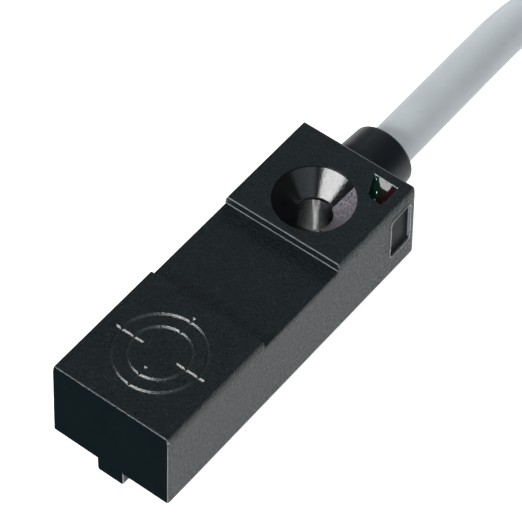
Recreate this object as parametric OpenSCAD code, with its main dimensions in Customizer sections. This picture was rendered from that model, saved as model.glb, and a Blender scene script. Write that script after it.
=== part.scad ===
// Flat inductive proximity sensor: a potted plastic block with one screw hole and a moulded-in cable.
// Frame: the origin is on the screw hole's axis at the seating face. +Z points up to the sensing
// face, -Y to the sensing end and +Y to the cable.

/* [Housing] */
// Width of the housing at its seating face
body_w = 11.5; // [11:0.5:13]
// Distance from the screw hole to the sensing end
front_len = 25.8; // [25:0.2:28]
// Distance from the screw hole to the cable end
rear_len = 6.2; // [6.2:0.1:7]
// Height of the housing above its seating face
body_h = 8.2; // [8:0.1:9]
// Draft of the two long sides, in degrees
side_draft = 1.2; // [0.5:0.1:2]
// Draft of the two ends, in degrees
end_draft = 1.5; // [0.5:0.1:2]
// Radius of the two long top edges
edge_r = 0.3; // [0.2:0.1:1]
// Thickness of the walls
wall = 1.0; // [0.8:0.1:1.2]

/* [Recess] */
// Depth of the recess across the top
recess_depth = 0.76; // [0.4:0.02:1]
// Distance from the sensing end to the start of the recess
recess_start = 12.06; // [11:0.02:13]
// Length of the recess
recess_len = 9.54; // [8:0.02:10]

/* [Screw hole] */
// Diameter of the clearance hole for an M3 screw
hole_d = 3.2; // [3.1:0.1:3.4]
// Diameter of the 90 degree countersink
sink_d = 6.85; // [6.2:0.05:7]
// Straight depth above the countersink's cone
sink_rim = 0.15; // [0.05:0.05:0.3]

/* [Locating tab] */
// Width of the tab under the sensing end
tab_w = 2.6; // [2:0.1:4]
// Height of the tab below the seating face
tab_h = 1.45; // [0.8:0.05:2]
// Thickness of the tab, front to back
tab_t = 0.95; // [0.6:0.05:1]

/* [Sensing mark] */
// Distance from the sensing end to the middle of the mark and the coil
target_y = 6.18; // [5.5:0.02:7]
// Radius of the mark's outer circle
mark_outer_r = 3.76; // [3:0.02:4]
// Radius of the mark's inner circle
mark_inner_r = 2.53; // [1.5:0.01:2.8]
// Width of the mark's grooves
mark_w = 0.2; // [0.1:0.05:0.3]
// Depth of the mark's grooves
mark_depth = 0.1; // [0.05:0.05:0.2]

/* [Cable] */
// Diameter of the cable
cable_d = 3.95; // [3.5:0.05:4.2]
// Height of the cable's middle above the seating face
cable_z = 4.8; // [4.6:0.1:5]
// Radius of the sleeve at the housing
sleeve_r = 3.1; // [2.8:0.1:3.2]
// Radius of the sleeve at its end
sleeve_end_r = 2.93; // [2.7:0.01:3]
// Length of the sleeve outside the housing
sleeve_len = 3.5; // [2.5:0.1:5]
// Diameter of each insulated core
core_d = 1.25; // [1:0.05:1.3]
// Length of the bare cores at the cable's far end
lead_len = 45; // [30:1:46]

/* [Hidden] */
$fn = 64;
eps = 0.01;

// Housing
front_y = -front_len;
rear_y = rear_len;
side_in = body_h * tan(side_draft);
end_in = body_h * tan(end_draft);
recess_z = body_h - recess_depth;
recess_front_y = front_y + recess_start;
recess_rear_y = recess_front_y + recess_len;
sensing_wall = 0.8;
sensing_y = front_y + target_y;
mark_tick_in = 1.6;
mark_tick_out = 4.3;
tab_corner_r = 0.3;

// Cavity, which is open at the seating face
cavity_half_w = body_w / 2 - wall;
cavity_front_y = front_y + wall;
cavity_rear_y = rear_y - wall;
cavity_top_front = body_h - sensing_wall;
cavity_top_mid = recess_z - wall;
cavity_top_rear = body_h - wall;
resin_z = 0.2;

// Tube of housing material around the screw hole
hole_r = hole_d / 2;
sink_r = sink_d / 2;
cone_top_z = body_h - sink_rim;
cone_low_z = cone_top_z - (sink_r - hole_r);
boss_r = hole_r + wall;
boss_cone_r = sink_r + 0.7;

// Indicator windows and the clear guide behind them
window_top = [[2.3, 5.0], [4.6, 5.0], [4.6, 2.85], [3.15, 2.85]];
window_side_y = [2.75, 5.2];
window_side_z = [1.2, 6.9];
window_sunk = 0.1;
window_side_sunk = 0.3;
led_h = 0.6;

// Pot core and coil, open towards the sensing face
core_r = 3.6;
core_wall = 0.6;
core_post_r = 1.5;
core_bore_r = 0.6;
core_h = 3.2;
core_base = 0.9;
core_top_z = cavity_top_front - 0.1;
core_low_z = core_top_z - core_h;
core_slot_w = 1.6;
bobbin_gap = 0.05;
bobbin_flange = 0.25;
bobbin_hub_r = core_post_r + 0.35;
bobbin_low_z = core_low_z + core_base;
bobbin_top_z = core_top_z - 0.1;
bobbin_out_r = core_r - core_wall - bobbin_gap;
winding_r = bobbin_out_r - 0.15;
coil_wire_d = 0.3;
coil_lead_x = 0.45;
coil_lead_z = bobbin_low_z + 0.8;

// Circuit board and what is soldered to it
board_half_w = 4.4;
board_y = [front_y + 1.6, 4.9];
board_z = [1.3, 2.1];
board_hole_r = boss_r + 0.1;
guide_x = [3.15, cavity_half_w];
guide_y = [2.95, 4.95];
guide_low_z = board_z[1] + led_h;

// Cable
floor_z = -tab_h;
cable_r = cable_d / 2;
sheath_start_y = 4.4;
sleeve_end_y = rear_y + sleeve_len;
sleeve_neck_r = 2.6;
sleeve_collar = 0.7;
sleeve_flat_x = 2.2;
sleeve_round = 0.4;
wire_fn = 24;
pad_r = 0.6;
joint_h = 0.35;
tube_sides = 8;

// Hank: turns in two columns and five layers, lying on the surface past the cable's free run
pitch = 4;
fold_r = 3 * pitch;
hank_columns = 2;
hank_layers = 5;
hank_run = 55;
hank_x = -12;
hank_y = [52, 52 + hank_run];
hank_out_r = fold_r + pitch * (hank_columns - 0.5);
hank_in_r = fold_r - pitch / 2;
hank_top_z = floor_z + pitch * hank_layers;
hank_mid_r = (hank_out_r + hank_in_r) / 2;
hank_half_w = (hank_out_r - hank_in_r) / 2;
hank_right_x = hank_x + fold_r + pitch;

// The cable's end turns out of the lowest inner turn and lies on the surface inside the hank
end_from = [hank_x - fold_r, hank_y[1], floor_z + cable_r];
end_to = [end_from[0] + pitch, hank_y[1] - 18, floor_z + cable_r];
lead_turn = 7;
lead_fan = 1.5;
tip_d = 0.7;
tip_len = 6;

// Ties round the two sides of the hank
tie_w = 2.5;
tie_t = 0.5;
tie_y = hank_y[0] + hank_run / 2;
tie_head = [3.5, 4.5, 2.5];

// Middle line of the cable from the housing to the hank
cable_route = [
    [0, sheath_start_y, cable_z], [0, 16, cable_z], [0, 24, cable_z],
    [0.05, 27, 4.75], [0.35, 30, 4.5], [1.2, 33, 3.7], [2.3, 36, 2.6], [3.3, 39, 1.5],
    [3.85, 42, 0.85], [hank_right_x, 45, 0.6], [hank_right_x, 48, 0.55], [hank_right_x, 52, 0.55],
];

// ---- Shapes that several parts share ----

// A round bar from one point to another
module bar(from, to, r, sides = wire_fn) {
    d = to - from;
    len = norm(d);
    translate(from)
        rotate([0, acos(d[2] / len), atan2(d[1], d[0])])
            cylinder(h = len, r = r, $fn = sides);
}

// A round wire with ball joints at its bends
module wire(points, r) {
    for (i = [0 : len(points) - 2]) bar(points[i], points[i + 1], r);
    for (i = [1 : len(points) - 2]) translate(points[i]) sphere(r = r, $fn = wire_fn);
}

// A box between two corners
module block(low, high) {
    translate(low) cube(high - low);
}

// A profile drawn across the body, X to the right and Z up, run along the whole length
module along_y(from, to) {
    translate([0, to, 0]) rotate([90, 0, 0]) linear_extrude(to - from) children();
}

// A profile drawn along the body, Y to the right and Z up, run across the whole width
module along_x(from, to) {
    translate([from, 0, 0]) rotate([90, 0, 90]) linear_extrude(to - from) children();
}

// Cross-section of the housing, with its draft and rounded long top edges
module cross_section() {
    half = body_w / 2;
    lean = side_draft;
    // Each corner circle touches both the top and the drafted side
    corner_x = half - side_in + edge_r * (tan(lean) - 1 / cos(lean));
    union() {
        polygon([
            [-half, 0], [half, 0],
            [corner_x + edge_r * cos(lean), body_h - edge_r + edge_r * sin(lean)],
            [corner_x, body_h - edge_r],
            [corner_x, body_h], [-corner_x, body_h],
            [-corner_x, body_h - edge_r],
            [-corner_x - edge_r * cos(lean), body_h - edge_r + edge_r * sin(lean)],
        ]);
        for (side = [-1, 1]) translate([side * corner_x, body_h - edge_r]) circle(r = edge_r);
    }
}

// Side profile of the housing, with its drafted ends and the recess across the top
module side_profile() {
    polygon([
        [front_y, 0], [rear_y, 0], [rear_y - end_in, body_h],
        [recess_rear_y, body_h], [recess_rear_y, recess_z],
        [recess_front_y, recess_z], [recess_front_y, body_h],
        [front_y + end_in, body_h],
    ]);
}

module housing_outside() {
    intersection() {
        along_y(front_y - 1, rear_y + 1) cross_section();
        along_x(-body_w, body_w) side_profile();
    }
}

// The cavity, lower under the recess
module cavity(low_z) {
    along_x(-cavity_half_w, cavity_half_w)
        polygon([
            [cavity_front_y, low_z], [cavity_rear_y, low_z], [cavity_rear_y, cavity_top_rear],
            [recess_rear_y + wall, cavity_top_rear], [recess_rear_y + wall, cavity_top_mid],
            [recess_front_y - wall, cavity_top_mid], [recess_front_y - wall, cavity_top_front],
            [cavity_front_y, cavity_top_front],
        ]);
}

// The tube and funnel that carry the screw hole through the cavity
module screw_boss() {
    union() {
        cylinder(h = body_h - wall / 2, r = boss_r);
        translate([0, 0, cone_low_z - wall])
            cylinder(h = cone_top_z - cone_low_z + wall, r1 = boss_r - 0.3, r2 = boss_cone_r);
    }
}

module screw_hole() {
    union() {
        translate([0, 0, -1]) cylinder(h = body_h + 2, r = hole_r);
        translate([0, 0, cone_low_z])
            cylinder(h = cone_top_z - cone_low_z, r1 = hole_r, r2 = sink_r);
        translate([0, 0, cone_top_z]) cylinder(h = 1, r = sink_r);
    }
}

module mark_ring(r) {
    rotate_extrude() translate([r - mark_w / 2, 0]) square([mark_w, 1]);
}

// Two circles and four short lines, cut into the sensing face
module sensing_mark() {
    translate([0, sensing_y, body_h - mark_depth]) {
        mark_ring(mark_outer_r);
        mark_ring(mark_inner_r);
        for (a = [0 : 90 : 270]) rotate([0, 0, a])
            translate([mark_tick_in, -mark_w / 2, 0]) cube([mark_tick_out - mark_tick_in, mark_w, 1]);
    }
}

// Thin tab under the sensing end that stops the housing from turning on its one screw
module locating_tab() {
    half = tab_w / 2;
    r = tab_corner_r;
    along_y(front_y, front_y + tab_t) union() {
        polygon([
            [-half, 0], [-half, r - tab_h], [r - half, r - tab_h], [r - half, -tab_h],
            [half - r, -tab_h], [half - r, r - tab_h], [half, r - tab_h], [half, 0],
        ]);
        for (side = [-1, 1]) translate([side * (half - r), r - tab_h]) circle(r = r);
    }
}

module window_prism(low_z, high_z) {
    translate([0, 0, low_z]) linear_extrude(high_z - low_z) polygon(window_top);
}

module side_opening() {
    block([cavity_half_w - eps, window_side_y[0], window_side_z[0]],
          [body_w, window_side_y[1], window_side_z[1]]);
}

// A chip body with a lead or cap block at each end
module chip(at, size, cap) {
    translate(at) union() {
        translate([-size[0] / 2 + cap, -size[1] / 2, 0]) cube([size[0] - 2 * cap, size[1], size[2]]);
        for (side = [-1, 1])
            translate([side * (size[0] - cap) / 2 - cap / 2, -size[1] / 2, 0])
                cube([cap, size[1], size[2] - 0.05]);
    }
}

// ---- Housing and what is visible on it ----

module housing() {
    color([0.09, 0.09, 0.10]) union() {
        difference() {
            housing_outside();
            difference() {
                cavity(-1);
                screw_boss();
            }
            screw_hole();
            sensing_mark();
            window_prism(cavity_top_rear - eps, body_h + 1);
            side_opening();
            translate([0, rear_y + 1, cable_z]) rotate([90, 0, 0])
                cylinder(h = wall + 2, r = sleeve_neck_r);
        }
        locating_tab();
    }
}

// Clear resin that carries the light of both LEDs to the top and to the side
module light_guide() {
    color([0.25, 0.27, 0.26]) union() {
        window_prism(cavity_top_rear, body_h - window_sunk);
        block([guide_x[0], guide_y[0], guide_low_z], [guide_x[1], guide_y[1], cavity_top_rear]);
        block([cavity_half_w, window_side_y[0], window_side_z[0]],
              [body_w / 2 - window_side_sunk, window_side_y[1], window_side_z[1]]);
    }
}

// ---- Sensing coil ----

module ferrite_core() {
    color([0.22, 0.22, 0.23]) translate([0, sensing_y, core_low_z]) difference() {
        cylinder(h = core_h, r = core_r);
        translate([0, 0, core_base]) difference() {
            cylinder(h = core_h, r = core_r - core_wall);
            cylinder(h = core_h, r = core_post_r);
        }
        translate([0, 0, -1]) cylinder(h = core_h + 2, r = core_bore_r);
        translate([-core_slot_w / 2, core_post_r + 0.5, core_base]) cube([core_slot_w, core_r, core_h]);
    }
}

module coil_bobbin() {
    color([0.85, 0.83, 0.75]) translate([0, sensing_y, 0]) difference() {
        union() {
            translate([0, 0, bobbin_low_z]) cylinder(h = bobbin_flange, r = bobbin_out_r);
            translate([0, 0, bobbin_low_z]) cylinder(h = bobbin_top_z - bobbin_low_z, r = bobbin_hub_r);
            translate([0, 0, bobbin_top_z - bobbin_flange]) cylinder(h = bobbin_flange, r = bobbin_out_r);
        }
        translate([0, 0, bobbin_low_z - 1])
            cylinder(h = core_h + 2, r = core_post_r + bobbin_gap);
    }
}

module coil_winding() {
    color([0.72, 0.36, 0.16])
        translate([0, sensing_y, bobbin_low_z + bobbin_flange]) difference() {
            cylinder(h = bobbin_top_z - bobbin_low_z - 2 * bobbin_flange, r = winding_r);
            translate([0, 0, -1]) cylinder(h = core_h, r = bobbin_hub_r);
        }
}

// The two ends of the winding, from the slot in the core down to the board
module coil_leads() {
    color([0.80, 0.45, 0.20])
        for (side = [-1, 1])
            wire([
                [side * coil_lead_x, sensing_y + winding_r, coil_lead_z],
                [side * coil_lead_x, sensing_y + core_r + 0.4, coil_lead_z],
                [side * coil_lead_x, sensing_y + core_r + 0.4, board_z[1]],
            ], coil_wire_d / 2);
}

// ---- Circuit board ----

module circuit_board() {
    color([0.10, 0.35, 0.18]) difference() {
        block([-board_half_w, board_y[0], board_z[0]], [board_half_w, board_y[1], board_z[1]]);
        cylinder(h = body_h, r = board_hole_r);
    }
}

module oscillator_ic() {
    color([0.12, 0.12, 0.13])
        translate([0, -12.2, board_z[1]]) union() {
            block([-2, -1.6, 0.1], [2, 1.6, 1.2]);
            for (x = [-1.5 : 1 : 1.5]) for (side = [-1, 1])
                block([x - 0.2, side > 0 ? 1.6 : -2.2, 0], [x + 0.2, side > 0 ? 2.2 : -1.6, 0.45]);
        }
}

module output_transistor() {
    color([0.14, 0.14, 0.15])
        translate([-2.2, -7.2, board_z[1]]) union() {
            block([-1.45, -0.65, 0.1], [1.45, 0.65, 1.05]);
            for (x = [-0.95, 0.95]) block([x - 0.2, -1.15, 0], [x + 0.2, -0.65, 0.4]);
            block([-0.2, 0.65, 0], [0.2, 1.15, 0.4]);
        }
}

module surge_diode() {
    color([0.13, 0.13, 0.14]) chip([2.3, -8.2, board_z[1]], [2.8, 1.5, 1.1], 0.4);
}

module reverse_diode() {
    color([0.13, 0.13, 0.14]) chip([2.3, -5.6, board_z[1]], [2.4, 1.3, 1.0], 0.35);
}

module capacitors() {
    color([0.72, 0.60, 0.42]) {
        chip([-1.8, -20.4, board_z[1]], [2.0, 1.25, 1.0], 0.4);
        chip([1.8, -20.4, board_z[1]], [2.0, 1.25, 1.0], 0.4);
        chip([-3.2, -9.6, board_z[1]], [1.6, 0.8, 0.8], 0.3);
    }
}

module resistors() {
    color([0.20, 0.20, 0.22]) {
        for (y = [-23.2, -18.4]) for (x = [-1.6, 1.6])
            chip([x, y, board_z[1]], [1.6, 0.8, 0.5], 0.3);
        chip([3.3, -14.9, board_z[1]], [1.6, 0.8, 0.5], 0.3);
        chip([-3.3, -14.9, board_z[1]], [1.6, 0.8, 0.5], 0.3);
    }
}

module led(at) {
    block(at - [0.55, 0.4, 0], at + [0.55, 0.4, 0.6]);
}

// Operation indicator
module status_led() {
    color([0.85, 0.15, 0.10]) led([3.7, 3.45, board_z[1]]);
}

// Supply indicator
module power_led() {
    color([0.15, 0.70, 0.25]) led([3.7, 4.4, board_z[1]]);
}

// ---- Cable inside the housing ----

// A core runs straight out of the sheath and then down to its solder joint on the board
function core_route(x, y) = [
    [x, sheath_start_y, cable_z], [x, y, cable_z], [x, y, board_z[1] + joint_h],
];

brown_route = core_route(-core_d, 3.7);
black_route = core_route(0, 3.35);
blue_route = core_route(core_d, 3.7);

module core_brown() {
    color([0.35, 0.20, 0.12]) wire(brown_route, core_d / 2);
}

module core_blue() {
    color([0.10, 0.25, 0.65]) wire(blue_route, core_d / 2);
}

module core_black() {
    color([0.05, 0.05, 0.05]) wire(black_route, core_d / 2);
}

module solder_joints() {
    color([0.75, 0.76, 0.78])
        for (route = [brown_route, blue_route, black_route]) {
            end = route[len(route) - 1];
            translate([end[0], end[1], board_z[1]]) cylinder(h = joint_h, r1 = pad_r, r2 = pad_r / 2);
        }
}

// The stretch of cable that the sleeve and the resin hold
module cable_bore() {
    translate([0, sheath_start_y, cable_z]) rotate([-90, 0, 0])
        cylinder(h = sleeve_end_y - sheath_start_y + 1, r = cable_r);
}

// Everything that the resin surrounds
module embedded_parts() {
    light_guide();
    ferrite_core();
    coil_bobbin();
    coil_winding();
    coil_leads();
    circuit_board();
    oscillator_ic();
    output_transistor();
    surge_diode();
    reverse_diode();
    capacitors();
    resistors();
    status_led();
    power_led();
    core_brown();
    core_blue();
    core_black();
    solder_joints();
    cable_sleeve();
    cable_bore();
}

module potting_resin() {
    color([0.13, 0.13, 0.14]) difference() {
        cavity(resin_z);
        screw_boss();
        embedded_parts();
    }
}

// ---- Cable outside the housing ----

// A round piece along the cable's middle line, from one distance to another
module on_cable(from_y, to_y, r1, r2) {
    translate([0, from_y, cable_z]) rotate([-90, 0, 0]) cylinder(h = to_y - from_y, r1 = r1, r2 = r2);
}

// Tapered sleeve moulded on the cable: outside the housing, through its wall, and a collar inside
// that is flat beside the light guide
module cable_sleeve() {
    color([0.10, 0.10, 0.11]) difference() {
        union() {
            difference() {
                union() {
                    on_cable(cavity_rear_y, sleeve_end_y - sleeve_round, sleeve_r, sleeve_end_r);
                    on_cable(sleeve_end_y - sleeve_round, sleeve_end_y,
                             sleeve_end_r, sleeve_end_r - sleeve_round / 2);
                }
                housing_outside();
            }
            intersection() {
                on_cable(cavity_rear_y, rear_y, sleeve_neck_r, sleeve_neck_r);
                housing_outside();
            }
            intersection() {
                on_cable(cavity_rear_y - sleeve_collar, cavity_rear_y, sleeve_neck_r, sleeve_neck_r);
                block([-body_w, 0, 0], [sleeve_flat_x, rear_y, body_h]);
            }
        }
        cable_bore();
    }
}

// Rings of points round a route, joined into one closed tube
function direction(p, i) =
    let (d = p[min(i + 1, len(p) - 1)] - p[max(i - 1, 0)]) d / norm(d);

function ring(p, i, r) = let (
        d = direction(p, i),
        side = cross(d, [0, 0, 1]),
        u = side / norm(side),
        v = cross(u, d)
    ) [for (k = [0 : tube_sides - 1])
        p[i] + r * (cos(360 * k / tube_sides) * u + sin(360 * k / tube_sides) * v)];

module tube(p, r) {
    last = len(p) - 1;
    points = [for (i = [0 : last]) each ring(p, i, r)];
    skin = [for (i = [0 : last - 1], k = [0 : tube_sides - 1])
        let (a = i * tube_sides + k, b = i * tube_sides + (k + 1) % tube_sides)
        [a, b, b + tube_sides, a + tube_sides]];
    near_end = [for (k = [tube_sides - 1 : -1 : 0]) k];
    far_end = [for (k = [0 : tube_sides - 1]) last * tube_sides + k];
    polyhedron(points, concat([near_end], skin, [far_end]));
}

module cable_sheath() {
    color([0.78, 0.79, 0.80]) tube(cable_route, cable_r);
}

// A flat shape as wide as a turn of the hank, round at both ends
module turn_outline(r) {
    union() {
        translate([hank_x - r, hank_y[0]]) square([2 * r, hank_run]);
        for (y = hank_y) translate([hank_x, y]) circle(r = r);
    }
}

// The put-away length as one solid. The bottom layer leaves room for the cable that comes in, and
// the cable's end lies inside.
module cable_hank() {
    color([0.78, 0.79, 0.80]) difference() {
        union() {
            translate([0, 0, floor_z]) linear_extrude(hank_top_z - floor_z) difference() {
                turn_outline(hank_out_r);
                turn_outline(hank_in_r);
            }
            bar(end_from, end_to, cable_r);
        }
        block([hank_right_x - pitch / 2, hank_y[0] - hank_out_r, floor_z - 1],
              [hank_right_x + pitch / 2, hank_y[0], floor_z + pitch + 0.3]);
        cable_ties();
    }
}

module cable_ties() {
    color([0.10, 0.10, 0.10])
        for (side = [-1, 1]) translate([hank_x + side * hank_mid_r, tie_y, 0]) union() {
            difference() {
                block([-hank_half_w - tie_t, -tie_w / 2, floor_z],
                      [hank_half_w + tie_t, tie_w / 2, hank_top_z + tie_t]);
                block([-hank_half_w, -tie_w, floor_z + tie_t], [hank_half_w, tie_w, hank_top_z]);
            }
            translate([-tie_head[0] / 2, -tie_head[1] / 2, hank_top_z + tie_t]) cube(tie_head);
        }
}

// One bare core at the far end: left, middle or right of the three. The last stretch is tinned.
function lead_angle(place) = -90 + lead_turn + lead_fan * place;

module lead(place) {
    translate([end_to[0] + place * core_d, end_to[1], floor_z + core_d / 2])
        rotate([0, 90, lead_angle(place)])
            cylinder(h = lead_len - tip_len, r = core_d / 2, $fn = wire_fn);
}

module lead_brown() {
    color([0.35, 0.20, 0.12]) lead(-1);
}

module lead_black() {
    color([0.05, 0.05, 0.05]) lead(0);
}

module lead_blue() {
    color([0.10, 0.25, 0.65]) lead(1);
}

module lead_tips() {
    color([0.78, 0.78, 0.80])
        for (place = [-1 : 1])
            translate([end_to[0] + place * core_d, end_to[1], floor_z + core_d / 2])
                rotate([0, 90, lead_angle(place)]) translate([0, 0, lead_len - tip_len])
                    cylinder(h = tip_len, r = tip_d / 2, $fn = wire_fn);
}

housing();
potting_resin();
light_guide();
ferrite_core();
coil_bobbin();
coil_winding();
coil_leads();
circuit_board();
oscillator_ic();
output_transistor();
surge_diode();
reverse_diode();
capacitors();
resistors();
status_led();
power_led();
core_brown();
core_blue();
core_black();
solder_joints();
cable_sleeve();
cable_sheath();
cable_hank();
cable_ties();
lead_brown();
lead_blue();
lead_black();
lead_tips();
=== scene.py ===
"""Flat inductive proximity sensor on a white table: the looks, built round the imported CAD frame.

Lengths are in millimetres in the CAD frame unless a comment says otherwise, and MM turns them into
Blender's metres. The origin is on the screw hole's axis at the seating face, +Z is up, -Y is the
sensing end and +Y the cable.
"""

import math

import bmesh
import bpy
from mathutils import Matrix, Quaternion, Vector


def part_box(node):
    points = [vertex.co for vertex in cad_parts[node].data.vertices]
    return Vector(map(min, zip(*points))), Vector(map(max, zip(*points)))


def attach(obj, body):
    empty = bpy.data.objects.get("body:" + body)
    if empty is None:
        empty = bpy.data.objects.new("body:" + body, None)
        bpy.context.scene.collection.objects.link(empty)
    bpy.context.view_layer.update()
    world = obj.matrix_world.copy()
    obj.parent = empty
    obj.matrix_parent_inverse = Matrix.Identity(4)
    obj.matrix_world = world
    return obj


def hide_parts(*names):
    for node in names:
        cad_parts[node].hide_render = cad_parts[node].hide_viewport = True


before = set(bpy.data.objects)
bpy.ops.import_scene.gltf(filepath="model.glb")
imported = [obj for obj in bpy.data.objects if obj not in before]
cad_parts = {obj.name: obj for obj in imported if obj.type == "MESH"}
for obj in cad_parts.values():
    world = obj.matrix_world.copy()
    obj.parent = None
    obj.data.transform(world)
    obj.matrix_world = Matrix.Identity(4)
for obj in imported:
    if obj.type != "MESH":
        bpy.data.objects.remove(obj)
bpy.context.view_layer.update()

MM = 0.001
SCENE = bpy.context.scene

# ---- Sizes that the frame gives ----


def box_mm(node):
    """The low and high corners of a CAD node."""
    return [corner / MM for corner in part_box(node)]


BODY_LOW, BODY_HIGH = box_mm("housing")
FRONT_Y, REAR_Y = BODY_LOW.y, BODY_HIGH.y
HALF_W, TOP_Z = BODY_HIGH.x, BODY_HIGH.z
FLOOR_Z = BODY_LOW.z
SLEEVE_END_Y = box_mm("cable_sleeve")[1].y
HANK_LOW, HANK_HIGH = box_mm("cable_hank")
TIES_SIDE_X = box_mm("cable_ties")[1].x

# ---- Sizes, most of them as in the CAD source ----

SIDE_DRAFT, END_DRAFT = math.radians(0.4), math.radians(1.5)
# The sides lean in from CROWN_H below the top, on a radius of CROWN_R
CROWN_H, CROWN_R = 1.0, 3.6
SMALL_EDGE, UPRIGHT_EDGE, FOOT_EDGE = 0.13, 0.32, 0.1
WALL, SENSING_WALL = 1.0, 0.8
RECESS_FRONT, RECESS_REAR = FRONT_Y + 12.06, FRONT_Y + 21.6
RECESS_Z = TOP_Z - 0.76
# The round at the top of each step of the recess, the one at its foot, and how far the step leans
STEP_ROUND, STEP_FOOT, STEP_LEAN = 0.1, 0.08, 0.005
HOLE_R, SINK_R, SINK_RIM = 1.6, 3.425, 0.15
SINK_TOP = TOP_Z - SINK_RIM
SINK_LOW = SINK_TOP - (SINK_R - HOLE_R)
BOSS_R = HOLE_R + WALL
TARGET_Y = FRONT_Y + 6.18
MARK_RADII = (3.76, 2.53)
TICK_INNER, TICK_OUTER = 1.72, 4.22
# Half the width of a groove's flat bottom, its depth, and how far its cutting tool stands over the top
GROOVE_FLAT, GROOVE_DEPTH, GROOVE_OVER = 0.03, 0.15, 0.1
TAB_HALF_W, TAB_T, TAB_ROUND, TAB_BEVEL = 1.3, 0.95, 0.3, 0.06
# The corners of the window openings: (x, y) on the top and (y, z) on the side
TOP_WINDOW = [(2.28, 5.0), (4.55, 4.95), (4.64, 2.8), (3.14, 2.94)]
SIDE_WINDOW = [(3.0, 6.5), (5.2, 6.6), (5.35, 2.4), (3.05, 2.3)]
TOP_BEVEL, SIDE_BEVEL = 0.08, 0.25
GUIDE_LOW, GUIDE_HIGH = (3.15, 2.95, 2.7), (HALF_W - WALL, 4.95, TOP_Z - WALL - 0.2)
CABLE_D, CABLE_Z = 3.95, 4.8
CABLE_R = CABLE_D / 2
SLEEVE_R, SLEEVE_END_R, SLEEVE_NECK_R = 3.1, 2.93, 2.6
CORE_D, TIP_D, TIP_LEN = 1.25, 0.7, 6
TIE_T, TIE_W, TIE_BEVEL = 0.5, 2.5, 0.08
TIE_OUTER_R, TIE_INNER_R = 1.0, 0.6

# ---- Camera ----

CAMERA_AT, CAMERA_AIM = (90.51, -127.95, 198.80), (-1.57, -4.78, 4.10)
# The lens and the sensor's width, and the camera's turn about its own axis in degrees
LENS, SENSOR_W, ROLL = 213.55, 36, 1.35


def add_camera():
    """The camera, high in front of the body's right corner."""
    at, aim = Vector(CAMERA_AT) * MM, Vector(CAMERA_AIM) * MM
    data = bpy.data.cameras.new("camera")
    data.lens, data.sensor_width = LENS, SENSOR_W
    data.clip_start, data.clip_end = 0.01, 10
    camera = bpy.data.objects.new("camera", data)
    SCENE.collection.objects.link(camera)
    camera.location = at
    camera.rotation_mode = "QUATERNION"
    roll = Quaternion((0, 0, 1), math.radians(ROLL))
    camera.rotation_quaternion = (aim - at).to_track_quat("-Z", "Y") @ roll
    SCENE.camera = camera


add_camera()

# ---- Helpers ----

# Points nearer than this are one point, in metres: in a new mesh, and after a cut
SAME_POINT, CUT_MERGE = 1e-8, 4e-7
# How finely a curve is divided along it and round it
CURVE_STEPS, CURVE_SIDES = 5, 6


def smooth_step(t):
    """0 to 1 with level ends."""
    t = min(1.0, max(0.0, t))
    return t * t * (3 - 2 * t)


def add_object(name, mesh, slot, *materials):
    """A piece made of a mesh, with its materials. slot, a material slot's name, is not used."""
    piece = bpy.data.objects.new(name, mesh)
    SCENE.collection.objects.link(piece)
    for m in materials:
        mesh.materials.append(m)
    return piece


def mesh_from(name, verts, faces):
    """A closed mesh from points, with its faces turned outwards."""
    mesh = bpy.data.meshes.new(name)
    mesh.from_pydata([Vector(v) * MM for v in verts], [], faces)
    bm = bmesh.new()
    bm.from_mesh(mesh)
    bmesh.ops.remove_doubles(bm, verts=bm.verts, dist=SAME_POINT)
    bmesh.ops.recalc_face_normals(bm, faces=bm.faces)
    bm.to_mesh(mesh)
    bm.free()
    return mesh


def loft(name, rings, looped=False):
    """Rings of equal length joined by quads, and closed at both ends or joined last to first."""
    n, count = len(rings[0]), len(rings)
    verts = [p for ring in rings for p in ring]
    pairs = [(i * n, (i + 1) % count * n) for i in range(count if looped else count - 1)]
    faces = [(a + k, a + (k + 1) % n, b + (k + 1) % n, b + k) for a, b in pairs for k in range(n)]
    if not looped:
        faces += [tuple(range(n)), tuple(range((count - 1) * n, count * n))]
    return mesh_from(name, verts, faces)


def turned(name, profile, sides=128, place=Matrix.Identity(4)):
    """A solid of revolution about Z, from (radius, height) points. place moves and turns it."""
    verts, rings = [], []
    for r, z in profile:
        start = len(verts)
        if r == 0:
            rings.append([start] * sides)
            verts.append(place @ Vector((0, 0, z)))
            continue
        rings.append([start + k for k in range(sides)])
        for k in range(sides):
            a = 2 * math.pi * k / sides
            verts.append(place @ Vector((r * math.cos(a), r * math.sin(a), z)))
    faces = []
    for a, b in zip(rings, rings[1:] + rings[:1]):
        for k in range(sides):
            corners = (a[k], a[(k + 1) % sides], b[(k + 1) % sides], b[k])
            corners = tuple(dict.fromkeys(corners))
            if len(corners) > 2:
                faces.append(corners)
    return mesh_from(name, verts, faces)


def along_cable():
    """Turns a solid about Z into one about the cable's line out of the body."""
    return Matrix.Translation((0, 0, CABLE_Z)) @ Matrix.Rotation(math.radians(-90), 4, "X")


def arc(cx, cy, r, start, end, steps):
    """Points on an arc, angles in degrees, both ends included."""
    turns = [math.radians(start + (end - start) * i / steps) for i in range(steps + 1)]
    return [(cx + r * math.cos(a), cy + r * math.sin(a)) for a in turns]


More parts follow.
